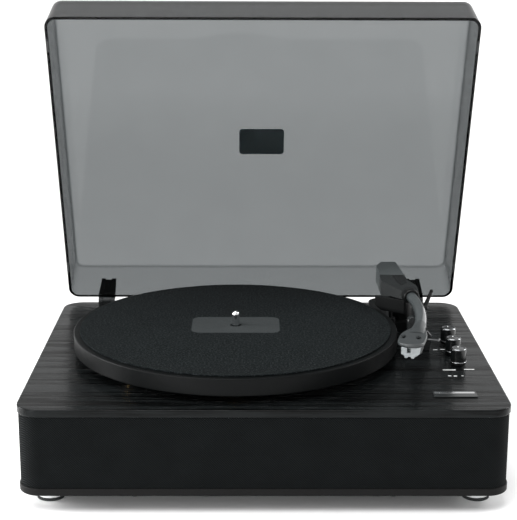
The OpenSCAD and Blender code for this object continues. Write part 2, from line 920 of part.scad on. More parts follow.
// Faceted housing over the pivot, with a pocket for the counterweight at its back
module counterweight_housing() {
    slot_w = yoke_blade_t + 0.8;
    nose_low = lifter_top + 0.65;
    color([0.22, 0.22, 0.23])
        difference() {
            intersection() {
                translate([0, 0, top_z1])
                    linear_extrude(60)
                        polygon([
                            [120.7, 80], [120.7, 137.5], [128.8, 157], [142.3, 157], [145.6, 104],
                            [147, 84], [154, 68], [155, 54], [140, 52.3], [131, 61]
                        ]);
                side_profile(
                    [
                        [50, nose_low], [50, box_low + 11], [60, box_low + 14], [99, box_top],
                        [153.5, box_top], [157, box_top - 3.5], [157, box_low + 3], [153.5, box_low],
                        [72, box_low], [66, nose_low]
                    ],
                    100, 180
                );
            }
            block(
                [pivot_xy.x - slot_w / 2, pivot_xy.y - 8, box_low - 1],
                [pivot_xy.x + slot_w / 2, pivot_xy.y + 8, arm_z + 4.6]
            );
            x_bar(pivot_xy.y, arm_z, axle_r + running_gap, pivot_xy.x - 9.3, pivot_xy.x + 20);
            block([weight_low.x, weight_low.y, box_low - 1], [weight_high.x, weight_high.y, box_top - 2.5]);
        }
}

// Steel block in the pocket under the housing
module counterweight() {
    color([0.45, 0.45, 0.46])
        block(
            [weight_low.x + weight_gap, weight_low.y + weight_gap, box_low + 0.6],
            [weight_high.x - weight_gap, weight_high.y - weight_gap, box_top - 2.5 - weight_gap]
        );
}

// Bent tube with a collar where it leaves the housing; the collar is flat below, to pass over the lifter
module arm_tube() {
    collar_r = 8;
    collar_l = 11;
    flat_z = -tube_r - 0.2;
    overlap_angle = 1;
    spare_angle = 0.3;
    color([0.33, 0.34, 0.35])
        difference() {
            union() {
                translate([bend_start.x, bend_start.y, arm_z])
                    rotate([0, 0, tube_start_angle])
                        difference() {
                            y_bar(0, 0, collar_r, 0, collar_l);
                            block([-collar_r, -1, -collar_r - 1], [collar_r, collar_l + 1, flat_z]);
                        }
                translate([bend_centre.x, bend_centre.y, arm_z])
                    rotate([0, 0, -tube_end_angle - spare_angle])
                        rotate_extrude(
                            angle = tube_start_angle + tube_end_angle + overlap_angle + spare_angle, $fn = 360
                        )
                            translate([bend_r, 0])
                                circle(tube_r, $fn = 48);
            }
            // The tube's end is square with the headshell
            head_place()
                block([-4 * tube_r, -4 * tube_r, arm_z - 2 * tube_r], [4 * tube_r, 0, arm_z + 2 * tube_r]);
        }
}

// Frame of the headshell: local -Y points along it, local X across it
module head_place() {
    translate([head_origin.x, head_origin.y, 0])
        rotate([0, 0, -head_angle])
            translate([head_shift, 0, 0])
                children();
}

head_nose_r = 12;
head_nose = [1, -48];
head_slot_x = [-7, 6.2];
head_slot_y = -39.5;
// Points along each side of the headshell between its neck and its nose, measured across and along it
head_left = [[-8.6, -16], [-10.5, -31]];
head_right = [[10.2, -16], [12.3, -33]];

// Pear-shaped plate with full sides and a round nose
module headshell() {
    tail_w = 5.4;
    color([0.4, 0.41, 0.42])
        head_place()
            difference() {
                union() {
                    translate([0, 0, head_under])
                        linear_extrude(head_t)
                            union() {
                                translate(head_nose)
                                    circle(head_nose_r);
                                polygon([
                                    [-tail_w - head_shift, -neck_l], head_left[0], head_left[1],
                                    [head_nose.x - head_nose_r, head_nose.y],
                                    [head_nose.x + head_nose_r, head_nose.y],
                                    head_right[1], head_right[0], [tail_w - head_shift, -neck_l]
                                ]);
                            }
                    y_bar(-head_shift, arm_z, tube_r + 0.4, -neck_l - 9, 0);
                }
                for (x = head_slot_x)
                    translate([x, head_slot_y, head_under - 1])
                        linear_extrude(head_t + 2)
                            union() {
                                square([2.6, 5], center = true);
                                for (end = [-1, 1])
                                    translate([0, end * 2.5])
                                        circle(1.3);
                            }
            }
}

// Screws that hold the cartridge through the headshell's slots
module headshell_screws() {
    color([0.08, 0.08, 0.08])
        head_place()
            for (x = head_slot_x) {
                translate([x, head_slot_y, head_under])
                    cylinder(r = 1.1, h = head_t);
                translate([x, head_slot_y, head_top])
                    cylinder(r = 2.1, h = 1.2);
            }
}

// Thin handle under the headshell's right edge, with a thicker tip
module finger_lift() {
    bar_t = 1.3;
    bar_y = [-28.8, -25.2];
    reach = 22.5;
    color([0.45, 0.45, 0.46])
        head_place()
            union() {
                block([5.5, bar_y[0], head_under - bar_t], [reach, bar_y[1], head_under]);
                translate([reach, bar_y[0], head_under - bar_t / 2])
                    rotate([-90, 0, 0])
                        cylinder(r = bar_t * 0.9, h = bar_y[1] - bar_y[0]);
            }
}

cartridge_x = 2.2;
guard_y = [-58.5, -49.5];

module cartridge_body() {
    color([0.1, 0.1, 0.1])
        head_place()
            block([cartridge_x - 8, guard_y[1] + 0.05, head_under - 8], [cartridge_x + 8, -31.5, head_under]);
}

// Clear guard round the stylus: notched at its top, with two small feet
module stylus_guard() {
    half_w = 8.4;
    top_z = head_under;
    low_z = top_z1 + 27.8;
    color([0.88, 0.88, 0.88])
        head_place()
            difference() {
                front_profile(
                    [
                        [cartridge_x - half_w, low_z + 3.4], [cartridge_x - 5.6, low_z + 2.2],
                        [cartridge_x - 5, low_z], [cartridge_x - 3, low_z], [cartridge_x - 2.2, low_z + 1.3],
                        [cartridge_x - 0.2, low_z + 1.3], [cartridge_x + 0.6, low_z], [cartridge_x + 2.8, low_z],
                        [cartridge_x + 3.6, low_z + 1.2], [cartridge_x + half_w - 0.4, low_z + 4.6],
                        [cartridge_x + half_w, top_z],
                        [cartridge_x - half_w, top_z]
                    ],
                    guard_y[0], guard_y[1]
                );
                block([cartridge_x - 3.4, guard_y[0] - 1, top_z - 5], [cartridge_x - 0.2, guard_y[0] + 7, top_z + 1]);
            }
}

// ---- Knobs ----

// Control knob with a bevelled top, a raised ring near its foot and a stem into the potentiometer
module knob(y) {
    z0 = top_z1 + knob_gap;
    ring_r = knob_r + 0.7;
    bevel = 0.9;
    color([0.05, 0.05, 0.05])
        translate([knob_x, y, 0])
            rotate_extrude()
                polygon([
                    [0, top_z0 - 6.5], [stem_r, top_z0 - 6.5], [stem_r, z0],
                    [knob_r, z0], [knob_r, z0 + 1.6], [ring_r, z0 + 2], [ring_r, z0 + 3.2],
                    [knob_r, z0 + 3.6], [knob_r, z0 + knob_h - bevel], [knob_r - bevel, z0 + knob_h],
                    [0, z0 + knob_h]
                ]);
}

module knob_source() { knob(knob_y[0]); }
module knob_speed() { knob(knob_y[1]); }
module knob_volume() { knob(knob_y[2]); }

// ---- Assembly ----

bottom_board();
cabinet_frame();
top_board();
grille_cloth();
woofer_left_basket();
woofer_left_cone();
woofer_right_basket();
woofer_right_cone();
tweeter_left_basket();
tweeter_left_cone();
tweeter_right_basket();
tweeter_right_cone();
foot_front_left();
foot_front_right();
foot_back_left();
foot_back_right();
foot_pads();
cabinet_screws();
motor_can();
motor_mount();
bearing_housing();
main_board();
potentiometers();
rear_panel();
rca_jacks();
aux_jack();
dc_inlet();
hinge_base_left();
hinge_base_right();
hinge_pins();
hinge_screws();
arm_base();
arm_rest();
badge_plate();
drive_belt();
cover_shell();
cover_label();
hinge_leaf_left();
hinge_leaf_right();
cover_bumpers();
platter_disc();
platter_mat();
spindle();
motor_pulley();
arm_yoke();
tilt_axle();
arm_tube();
counterweight_housing();
counterweight();
headshell();
headshell_screws();
finger_lift();
cartridge_body();
stylus_guard();
cue_lever();
arm_lifter();
knob_source();
knob_speed();
knob_volume();
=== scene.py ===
import json
import math

import bmesh
import bpy
from mathutils import Matrix, Vector


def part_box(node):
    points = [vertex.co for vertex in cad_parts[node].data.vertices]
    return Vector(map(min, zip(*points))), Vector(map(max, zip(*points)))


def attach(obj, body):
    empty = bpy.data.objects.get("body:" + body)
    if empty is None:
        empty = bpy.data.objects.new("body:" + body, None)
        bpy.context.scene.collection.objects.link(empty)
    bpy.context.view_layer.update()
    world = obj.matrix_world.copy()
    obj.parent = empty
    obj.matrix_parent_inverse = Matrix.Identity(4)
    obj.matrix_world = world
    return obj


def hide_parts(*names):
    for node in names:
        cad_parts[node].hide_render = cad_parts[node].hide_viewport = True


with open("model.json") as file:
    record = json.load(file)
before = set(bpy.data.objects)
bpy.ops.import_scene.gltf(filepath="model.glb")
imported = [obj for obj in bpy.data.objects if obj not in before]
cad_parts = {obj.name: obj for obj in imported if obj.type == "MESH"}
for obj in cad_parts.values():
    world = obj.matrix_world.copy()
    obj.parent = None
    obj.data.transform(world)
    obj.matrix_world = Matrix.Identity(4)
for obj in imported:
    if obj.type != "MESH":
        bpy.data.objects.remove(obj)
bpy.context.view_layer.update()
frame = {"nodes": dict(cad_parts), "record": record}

MM = 0.001

# Where the top of the counterweight housing turns from its level back to its sloping nose; the painted shade
# of the nose starts there.
HOUSING_FOLD = 99 * MM

# The record's material slots, the slot of each CAD node and the body that each node belongs to.
SLOT_OF = {row["node"]: row["material_slot"] for row in frame["record"]["subparts"]}
BODY_OF = {
    node: body
    for body, members in frame["record"]["behaviour"]["bodies"].items()
    for node in members
}


# ---- Camera, floor and lights ----

def make_camera():
    """A long lens in front of the player, a little above it."""
    data = bpy.data.cameras.new("camera")
    data.sensor_width = 36
    data.lens = 90.35
    data.clip_end = 60
    camera = bpy.data.objects.new("camera", data)
    place = (-0.0134, -1.1912, 0.4787)
    pitch = math.radians(14.05)
    yaw = math.radians(-0.45)
    roll = math.radians(0.19)
    camera.matrix_world = (
        Matrix.Translation(place)
        @ Matrix.Rotation(yaw, 4, "Z")
        @ Matrix.Rotation(math.pi / 2 - pitch, 4, "X")
        @ Matrix.Rotation(roll, 4, "Z")
    )
    bpy.context.scene.collection.objects.link(camera)
    bpy.context.scene.camera = camera


def make_floor():
    """A wide pale disc that the feet stand on, less pale under and behind the player, where its colour holds
    a painted shadow.
    """
    mesh = bpy.data.meshes.new("floor")
    bm = bmesh.new()
    bmesh.ops.create_circle(bm, cap_ends=True, segments=96, radius=25)
    bm.to_mesh(mesh)
    bm.free()
    floor = bpy.data.objects.new("floor", mesh)
    bpy.context.scene.collection.objects.link(floor)
    look = Look("floor_paper", roughness=0.6)
    # Painted shadow: the colour darkens in a mottled band from under the back of the player to far behind
    # it.
    cloud = look.math("MULTIPLY", look.noise(80 * MM), 0.02)
    behind = look.math("ADD", look.math("MULTIPLY", look.axis("Y"), 0.2), cloud)
    look.color(look.ramp(behind, (0.03, 0.93), (0.09, 0.72), (0.25, 0.76), (0.6, 0.93)))
    mesh.materials.append(look.material)


def make_lamp(name, place, target, size, power):
    """A soft box of size (width, height) metres at a place, turned to its target."""
    data = bpy.data.lights.new(name, "AREA")
    data.shape = "RECTANGLE"
    data.size, data.size_y = size
    data.energy = power
    lamp = bpy.data.objects.new(name, data)
    lamp.location = place
    lamp.rotation_euler = (Vector(target) - Vector(place)).to_track_quat("-Z", "Y").to_euler()
    bpy.context.scene.collection.objects.link(lamp)


def make_sun(bearing, height, spread, strength):
    """A wide soft sun; bearing is measured from the camera's side towards the left, in degrees."""
    data = bpy.data.lights.new("sun", "SUN")
    data.angle = math.radians(spread)
    data.energy = strength
    sun = bpy.data.objects.new("sun", data)
    sun.rotation_euler = (math.radians(90 - height), 0, math.radians(-bearing))
    bpy.context.scene.collection.objects.link(sun)


def make_world(strength):
    """A plain white studio."""
    world = bpy.data.worlds.new("studio")
    world.use_nodes = True
    background = world.node_tree.nodes["Background"]
    background.inputs["Color"].default_value = (1, 1, 1, 1)
    background.inputs["Strength"].default_value = strength
    bpy.context.scene.world = world


# ---- Materials ----

class Look:
    """One node material: its Principled shader, and short calls for the nodes that feed it."""

    def __init__(self, name, **sockets):
        self.material = bpy.data.materials.new(name)
        self.material.use_nodes = True
        self.tree = self.material.node_tree
        self.shader = self.tree.nodes["Principled BSDF"]
        self.place = self.tree.nodes.new("ShaderNodeTexCoord").outputs["Object"]
        for socket, value in sockets.items():
            title = socket.replace("_", " ").title().replace("Ior", "IOR")
            self.shader.inputs[title].default_value = value

    def node(self, kind, *inputs):
        """A new node whose first inputs are linked or set in order; None leaves one as it is."""
        made = self.tree.nodes.new(kind)
        for socket, value in zip(made.inputs, inputs):
            if isinstance(value, bpy.types.NodeSocket):
                self.tree.links.new(value, socket)
            elif value is not None:
                socket.default_value = value
        return made

    def stretched(self, x, y, z):
        """The place on the piece, counted in cells of x by y by z metres."""
        mapping = self.node("ShaderNodeMapping", self.place)
        mapping.inputs["Scale"].default_value = (1 / x, 1 / y, 1 / z)
        return mapping.outputs[0]

    def noise(self, size, detail=2.0, rough=0.5, at=None):
        """Soft noise from 0 to 1 whose spots are about size metres wide."""
        made = self.tree.nodes.new("ShaderNodeTexNoise")
        self.tree.links.new(at or self.place, made.inputs["Vector"])
        made.inputs["Scale"].default_value = 1 / size
        made.inputs["Detail"].default_value = detail
        made.inputs["Roughness"].default_value = rough
        return made.outputs["Fac"]

    def axis(self, name):
        """X, Y or Z of the place on the piece, in metres."""
        split = self.node("ShaderNodeSeparateXYZ", self.place)
        return split.outputs[name]

    def math(self, operation, a, b=None, c=None):
        """The result of a sum with up to three values."""
        made = self.node("ShaderNodeMath", a, b, c)
        made.operation = operation
        return made.outputs[0]

    def ramp(self, value, *stops):
        """Grey or colour stops, each (position, grey or colour)."""
        made = self.node("ShaderNodeValToRGB", value)
        elements = made.color_ramp.elements
        while len(elements) < len(stops):
            elements.new(0.5)
        for element, (position, tone) in zip(elements, stops):
            element.position = position
            element.color = (tone, tone, tone, 1) if isinstance(tone, (int, float)) else (*tone, 1)
        return made.outputs["Color"]

    def mix(self, factor, a, b):
        """Colour a where factor is 0, colour b where it is 1."""
        made = self.tree.nodes.new("ShaderNodeMix")
        made.data_type = "RGBA"
        for socket, value in ((made.inputs[0], factor), (made.inputs[6], a), (made.inputs[7], b)):
            if isinstance(value, bpy.types.NodeSocket):
                self.tree.links.new(value, socket)
            else:
                socket.default_value = value
        return made.outputs[2]

    def color(self, socket):
        """Feeds the shader's base colour."""
        self.tree.links.new(socket, self.shader.inputs["Base Color"])

    def spread(self, value, start, end, low, high):
        """From low to high as value goes from start to end, and level beyond them."""
        made = self.node("ShaderNodeMapRange", value)
        made.inputs["From Min"].default_value = start
        made.inputs["From Max"].default_value = end
        made.inputs["To Min"].default_value = low
        made.inputs["To Max"].default_value = high
        return made.outputs["Result"]

    def roughness(self, value, low, high):
        """Roughness from low to high as value goes from 0 to 1."""
        self.tree.links.new(self.spread(value, 0, 1, low, high), self.shader.inputs["Roughness"])

    def bump(self, height, depth):
        """Relief of depth metres where height goes from 0 to 1; a second call adds to the first."""
        made = self.tree.nodes.new("ShaderNodeBump")
        made.inputs["Distance"].default_value = depth
        self.tree.links.new(height, made.inputs["Height"])
        normal = self.shader.inputs["Normal"]
        if normal.links:
            self.tree.links.new(normal.links[0].from_socket, made.inputs["Normal"])
        self.tree.links.new(made.outputs["Normal"], normal)


def ash_foil():
    """Black wood-grain foil: near-black with fine streaks along X that are glossier than the rest."""
    look = Look("ash_foil", specular_ior_level=0.1)
    bands = look.noise(1, 3, 0.6, look.stretched(700 * MM, 30 * MM, 30 * MM))
    streaks = look.noise(1, 4, 0.75, look.stretched(160 * MM, 7.5 * MM, 7.5 * MM))
    pores = look.noise(1, 2, 0.5, look.stretched(20 * MM, 0.9 * MM, 0.9 * MM))
    grain = look.math("ADD", look.math("MULTIPLY", streaks, 0.75), look.math("MULTIPLY", bands, 0.25))
    line = look.ramp(grain, (0.43, 0.0), (0.57, 1.0))
    look.color(look.mix(line, (0.0005, 0.0006, 0.0006, 1), (0.007, 0.0082, 0.0085, 1)))
    look.roughness(line, 0.32, 0.07)
    look.bump(line, 0.05 * MM)
    look.bump(look.ramp(pores, (0.36, 0.0), (0.5, 1.0)), 0.04 * MM)
    return look.material


def painted_board():
    """Matt black paint with a fine speckle."""
    look = Look("painted_board", specular_ior_level=0.1)
    speckle = look.noise(0.7 * MM, 3, 0.6)
    look.color(look.ramp(speckle, (0.35, 0.004), (0.65, 0.009)))
    look.roughness(look.noise(14 * MM), 0.42, 0.58)
    look.bump(speckle, 0.05 * MM)
    return look.material


def speaker_cloth():
    """Fine basket weave, turned so that its ridges run in diagonals, with open pores between threads."""
    look = Look("speaker_cloth", sheen_weight=0.02, sheen_roughness=0.5, specular_ior_level=0.05)
    pitch = 2.1 * MM
    along = look.math("ADD", look.axis("X"), look.axis("Y"))
    rise = look.math("ADD", along, look.axis("Z"))
    fall = look.math("SUBTRACT", along, look.axis("Z"))
    waves = []
    for direction in (rise, fall):
        angle = look.math("MULTIPLY", direction, 2 * math.pi / pitch)
        waves.append(look.math("MULTIPLY_ADD", look.math("SINE", angle), 0.5, 0.5))
    across = look.math("MULTIPLY_ADD", waves[1], 0.5, 0.5)
    weave = look.math("MULTIPLY", waves[0], across)
    worn = look.noise(22 * MM, 3, 0.55)
    thread = look.mix(worn, (0.007, 0.0085, 0.009, 1), (0.015, 0.018, 0.019, 1))
    look.color(look.mix(weave, (0.0004, 0.0005, 0.0005, 1), thread))
    look.roughness(weave, 0.95, 0.7)
    look.bump(weave, 0.35 * MM)
    look.bump(look.noise(0.5 * MM, 2), 0.06 * MM)
    return look.material


def felt():
    """Short black nap with pale flecks, and a plain grey print round the spindle."""
    look = Look("felt", sheen_weight=0.01, sheen_roughness=0.6, specular_ior_level=0.02)
    nap = look.noise(1.1 * MM, 4, 0.7)
    cloud = look.noise(18 * MM, 3, 0.6)
    black = look.mix(cloud, (0.0018, 0.0027, 0.003, 1), (0.0045, 0.0062, 0.0067, 1))
    flecks = look.ramp(look.noise(1.8 * MM, 3, 0.8), (0.52, 0.0), (0.62, 1.0))
    black = look.mix(look.math("MULTIPLY", flecks, 0.7), black, (0.032, 0.038, 0.039, 1))
    printed = look.mix(nap, (0.02, 0.023, 0.024, 1), (0.045, 0.05, 0.051, 1))
    look.color(look.mix(print_mask(look), black, printed))
    look.roughness(nap, 0.85, 1.0)
    look.bump(nap, 0.5 * MM)
    look.bump(cloud, 0.5 * MM)
    return look.material


def print_mask(look):
    """1 inside a rounded oblong round the spindle and 0 outside, with a soft edge."""
    half = (42 * MM, 26 * MM)
    corner = 9 * MM
    soft = 0.8 * MM
    low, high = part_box("platter_mat")
    centre = (low + high) / 2
    beyond = []
    for name, middle, reach in (("X", centre.x, half[0]), ("Y", centre.y, half[1])):
        offset = look.math("ABSOLUTE", look.math("SUBTRACT", look.axis(name), middle))
        over = look.math("MAXIMUM", look.math("SUBTRACT", offset, reach - corner), 0.0)
        beyond.append(look.math("MULTIPLY", over, over))
    distance = look.math("SQRT", look.math("ADD", *beyond))
    return look.spread(distance, corner - soft, corner, 1, 0)


def moulded(name, dark, light, rough=(0.35, 0.5), grain=0.8 * MM, relief=0.03 * MM, **sockets):
    """Moulded plastic or lacquer: a fine texture, faint clouds in its colour and in its gloss."""
    look = Look(name, **sockets)
    cloud = look.noise(16 * MM, 3, 0.6)
    look.color(look.mix(cloud, (*dark, 1), (*light, 1)))
    look.roughness(look.noise(7 * MM, 3, 0.6), *rough)
    look.bump(look.noise(grain, 2, 0.6), relief)
    return look.material


def housing_grey():
    """Sparkling grey of the counterweight housing: pale behind the fold, dark before it, where the dark
    colour is painted shade of the sloping nose.
    """
    look = Look("housing_grey", specular_ior_level=0.3)
    blend = 0.4 * MM
    behind = look.spread(look.axis("Y"), HOUSING_FOLD - blend, HOUSING_FOLD + blend, 0, 1)
    sparkle = look.ramp(look.noise(1.3 * MM, 3, 0.75), (0.42, 0.0), (0.62, 1.0))
    # Painted shade: the nose before the fold is coloured darker, for the shade on its sloping and front
    # faces.
    nose = look.mix(sparkle, (0.008, 0.0095, 0.0098, 1), (0.016, 0.0185, 0.019, 1))
    rear = look.mix(sparkle, (0.045, 0.052, 0.053, 1), (0.085, 0.097, 0.099, 1))
    look.color(look.mix(behind, nose, rear))
    look.roughness(sparkle, 0.45, 0.6)
    look.bump(sparkle, 0.08 * MM)
    return look.material


def metal(name, dark, light, rough=(0.12, 0.3)):
    """Bare or plated metal with fine marks."""
    look = Look(name, metallic=1.0)
    grain = 0.4 * MM
    marks = look.noise(1, 3, 0.6, look.stretched(grain, grain, grain))
    look.color(look.mix(marks, (*dark, 1), (*light, 1)))
    look.roughness(look.noise(5 * MM, 3, 0.6), *rough)
    look.bump(marks, 0.01 * MM)
    return look.material


def smoked_clear():
    """Clear plastic that darkens what is seen through it by the length of the path inside."""
    look = Look("smoked_clear", transmission_weight=1.0, ior=1.25)
    look.color(look.ramp(look.noise(40 * MM), (0.3, 0.97), (0.7, 1.0)))
    look.roughness(look.noise(30 * MM, 3, 0.6), 0.01, 0.035)
    look.bump(look.noise(60 * MM, 1), 0.02 * MM)
    smoke = look.tree.nodes.new("ShaderNodeVolumeAbsorption")
    smoke.inputs["Color"].default_value = (0.03, 0.06, 0.07, 1)
    smoke.inputs["Density"].default_value = 520
    output = look.tree.nodes["Material Output"]
    look.tree.links.new(smoke.outputs["Volume"], output.inputs["Volume"])
    return look.material


def milky_clear():
    """Half clear, half clouded plastic of the stylus guard."""
    look = Look("milky_clear", transmission_weight=0.35, ior=1.5, subsurface_weight=0.5)
    look.shader.inputs["Subsurface Radius"].default_value = (2 * MM, 2 * MM, 2 * MM)
    look.shader.inputs["Subsurface Scale"].default_value = 1.0
    cloud = look.noise(3 * MM, 3, 0.6)
    look.color(look.mix(cloud, (0.3, 0.33, 0.34, 1), (0.55, 0.58, 0.59, 1)))
    look.roughness(cloud, 0.12, 0.35)
    look.bump(look.noise(1.5 * MM), 0.05 * MM)
    return look.material


def grey(value):
    """A faintly blue-green grey."""
    return value, value * 1.15, value * 1.19


def make_materials():
    """Every material by its name. A name that is also a slot of the record fills that slot."""
    return {
        "black_ash_vinyl": ash_foil(),
        "black_paint": painted_board(),
        "speaker_cloth": speaker_cloth(),
        "felt": felt(),
        "smoked_clear": smoked_clear(),
        "guard_clear": milky_clear(),
        "basket_steel": moulded("basket_steel", grey(0.03), grey(0.045), metallic=0.3),
        "cone_paper": moulded("cone_paper", grey(0.05), grey(0.09), (0.8, 0.95), 0.6 * MM, 0.1 * MM),
        "foot_silver": moulded("foot_silver", (0.92, 0.93, 0.93), (0.96, 0.97, 0.97), (0.22, 0.34)),
        "rubber": moulded("rubber", grey(0.012), grey(0.02), (0.75, 0.9)),
        "soft_clear": moulded("soft_clear", grey(0.008), grey(0.014), (0.4, 0.5)),
        "screw_black": moulded("screw_black", grey(0.02), grey(0.035), (0.25, 0.4), metallic=0.8),
        "motor_steel": metal("motor_steel", (0.45, 0.46, 0.48), (0.6, 0.61, 0.62), (0.25, 0.4)),
        "bearing_brass": metal("bearing_brass", (0.6, 0.42, 0.18), (0.75, 0.56, 0.28)),
        "circuit_board": moulded("circuit_board", (0.01, 0.08, 0.03), (0.015, 0.11, 0.045)),
        "pot_metal": metal("pot_metal", (0.4, 0.4, 0.42), (0.55, 0.55, 0.57), (0.3, 0.45)),
        "panel_plastic": moulded(
            "panel_plastic", grey(0.016), grey(0.024), (0.5, 0.62), 0.9 * MM, 0.06 * MM
        ),
        "nickel": metal("nickel", (0.68, 0.67, 0.64), (0.82, 0.81, 0.78), (0.1, 0.22)),
        "hinge_plastic": moulded("hinge_plastic", grey(0.012), grey(0.022), (0.4, 0.55)),
        "arm_plastic": moulded(
            "arm_plastic", grey(0.002), grey(0.004), (0.32, 0.44), specular_ior_level=0.2
        ),
        "rest_plastic": moulded("rest_plastic", grey(0.008), grey(0.014), (0.2, 0.32)),
        "badge_black": moulded("badge_black", grey(0.006), grey(0.01), (0.1, 0.2)),
        "label_dark": moulded("label_dark", grey(0.86), grey(0.94), (0.5, 0.65)),
        "label_back": moulded("label_back", grey(0.02), grey(0.035), (0.4, 0.55)),
        "platter_black": moulded(
            "platter_black", grey(0.0025), grey(0.004), (0.34, 0.46), 0.7 * MM, specular_ior_level=0.08
        ),
        "spindle_steel": metal("spindle_steel", (0.6, 0.61, 0.62), (0.85, 0.85, 0.86), (0.05, 0.14)),
        # Its dark nose is painted shade.
        "housing_grey": housing_grey(),
        "tube_grey": moulded(
            "tube_grey", grey(0.035), grey(0.055), (0.25, 0.35), coat_weight=0.5, coat_roughness=0.08
        ),
        "head_grey": moulded(
            "head_grey", grey(0.022), grey(0.036), (0.32, 0.45), coat_weight=0.15, coat_roughness=0.15
        ),
        "cartridge_black": moulded("cartridge_black", grey(0.01), grey(0.018)),
        "knob_black": moulded(
            "knob_black", grey(0.003), grey(0.005), (0.16, 0.24), specular_ior_level=0.4
        ),
        "print_white": moulded("print_white", (0.62, 0.63, 0.63), (0.75, 0.76, 0.76), (0.5, 0.6)),
        "insulator_white": moulded("insulator_white", (0.6, 0.6, 0.58), (0.72, 0.72, 0.7), (0.3, 0.4)),
        "insulator_red": moulded("insulator_red", (0.35, 0.01, 0.01), (0.45, 0.02, 0.015), (0.3, 0.4)),
        # Painted shade: the dark sheet on the housing's slope.
        "shade_patch_black": moulded(
            "shade_patch_black", grey(0.004), grey(0.006), (0.2, 0.3), specular_ior_level=0.2
        ),
        "knob_cap": metal("knob_cap", (0.1, 0.103, 0.105), (0.2, 0.205, 0.21), (0.2, 0.3)),
        "knob_trim": metal("knob_trim", (0.2, 0.205, 0.21), (0.3, 0.305, 0.31), (0.1, 0.2)),
        "finger_metal": metal("finger_metal", (0.1, 0.103, 0.105), (0.16, 0.163, 0.165), (0.25, 0.35)),
    }


# ---- Mesh helpers ----

def place_piece(mesh, body, material, sharp=35):
    """Shades a mesh smooth except at sharp edges, and lets it ride on a CAD body."""
    mesh.materials.clear()
    mesh.materials.append(LOOKS[material])
    mesh.shade_smooth()
    mesh.set_sharp_from_angle(angle=math.radians(sharp))
    piece = bpy.data.objects.new(mesh.name, mesh)
    bpy.context.scene.collection.objects.link(piece)
    level_normals(piece)
    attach(piece, body)
    return piece


def level_normals(piece):
    """Keeps large faces flat in the shading where small bevel faces join them."""
    modifier = piece.modifiers.new("level_normals", "WEIGHTED_NORMAL")
    modifier.weight = 100
    modifier.keep_sharp = True


def solid(name, rings, body, material, closed=False, move=None, sharp=35):
    """A skin over rings of equal length. The two ends are capped, or joined when closed."""
    count = len(rings[0])
    mesh = bpy.data.meshes.new(name)
    bm = bmesh.new()
    rows = [[bm.verts.new(point) for point in ring] for ring in rings]
    pairs = list(zip(rows, rows[1:]))
    if closed:
        pairs.append((rows[-1], rows[0]))
    for low, high in pairs:
        for i in range(count):
            j = (i + 1) % count
            bm.faces.new((low[i], low[j], high[j], high[i]))
    if not closed:
        bm.faces.new(rows[0])
        bm.faces.new(rows[-1])
    bmesh.ops.recalc_face_normals(bm, faces=bm.faces)
    if move:
        bmesh.ops.transform(bm, matrix=move, verts=bm.verts)
    bm.to_mesh(mesh)
    bm.free()
    return place_piece(mesh, body, material, sharp)


def rounded(points, radius, steps=4, closed=False):
    """A polyline with its corners cut to arcs of at most that radius."""
    out = []
    count = len(points)
    for i, point in enumerate(points):
        if not closed and i in (0, count - 1):
            out.append(tuple(point))
            continue
        corner = Vector(point)
        before, after = Vector(points[i - 1]) - corner, Vector(points[(i + 1) % count]) - corner
        reach = min(radius, 0.45 * before.length, 0.45 * after.length)
        start, end = corner + before.normalized() * reach, corner + after.normalized() * reach
        for k in range(steps + 1):
            t = k / steps
            out.append(tuple(start.lerp(corner, t).lerp(corner.lerp(end, t), t)))
    return out


def lathe(name, profile, centre, body, material, segments=96, closed=False):
    """Turns a profile of (radius, height) points about the upright line through centre."""
    turns = [2 * math.pi * i / segments for i in range(segments)]
    rings = [
        [(centre[0] + r * math.cos(a), centre[1] + r * math.sin(a), z) for a in turns]
        for r, z in profile
    ]
    return solid(name, rings, body, material, closed)


def rounded_rect(width, depth, radius, inset=0.0, centre=(0, 0), steps=10):
    """Corner points of a rectangle with round corners, anticlockwise from the right front corner."""
    r = radius - inset
    out = []
    for corner, (sx, sy) in enumerate(((1, -1), (1, 1), (-1, 1), (-1, -1))):
        for k in range(steps + 1):
            a = math.radians(-90 + 90 * corner + 90 * k / steps)
            out.append((
                centre[0] + sx * (width / 2 - radius) + r * math.cos(a),
                centre[1] + sy * (depth / 2 - radius) + r * math.sin(a),
            ))
    return out


def roundover(radius, steps):
    """Points of a rounded edge as (inset, drop), from the side (0, radius) to the top (radius, 0)."""
    turns = [math.pi / 2 * k / steps for k in range(steps + 1)]
    return [(radius * (1 - math.cos(a)), radius * (1 - math.sin(a))) for a in turns]


def slab(name, outline, z0, z1, bevel, body, material, crown=0.0, move=None):
    """A plate over outline(inset), with rounded edges and a middle that rises by crown."""
    edge = roundover(bevel, 4)
    levels = [(inset, z0 + drop) for inset, drop in reversed(edge)]
    levels += [(inset, z1 - drop) for inset, drop in edge]
    rings = [[(x, y, z) for x, y in outline(inset)] for inset, z in levels]
    if crown:
        brim = [Vector(point) for point in outline(bevel)]
        middle = sum(brim, Vector((0, 0))) / len(brim)
        for share in (0.25, 0.5, 0.75, 0.97):
            lift = z1 + crown * (1 - (1 - share) ** 2)
            rings.append([(*point.lerp(middle, share), lift) for point in brim])
    return solid(name, rings, body, material, move=move)


def sweep(name, path, section, body, material):
    """Draws a closed section of (side, up) points along a path of points."""
    rings = []
    upward = Vector((0, 0, 1))
    for i, point in enumerate(path):
        ahead = Vector(path[min(i + 1, len(path) - 1)]) - Vector(path[max(i - 1, 0)])
        ahead.normalize()
        side = ahead.cross(upward).normalized()
        lift = side.cross(ahead)
        rings.append([tuple(Vector(point) + side * a + lift * b) for a, b in section])
    return solid(name, rings, body, material)


def circle(radius, count):
    """Points of a circle about the origin, as (across, up)."""
    turns = [2 * math.pi * i / count for i in range(count)]
    return [(radius * math.cos(a), radius * math.sin(a)) for a in turns]


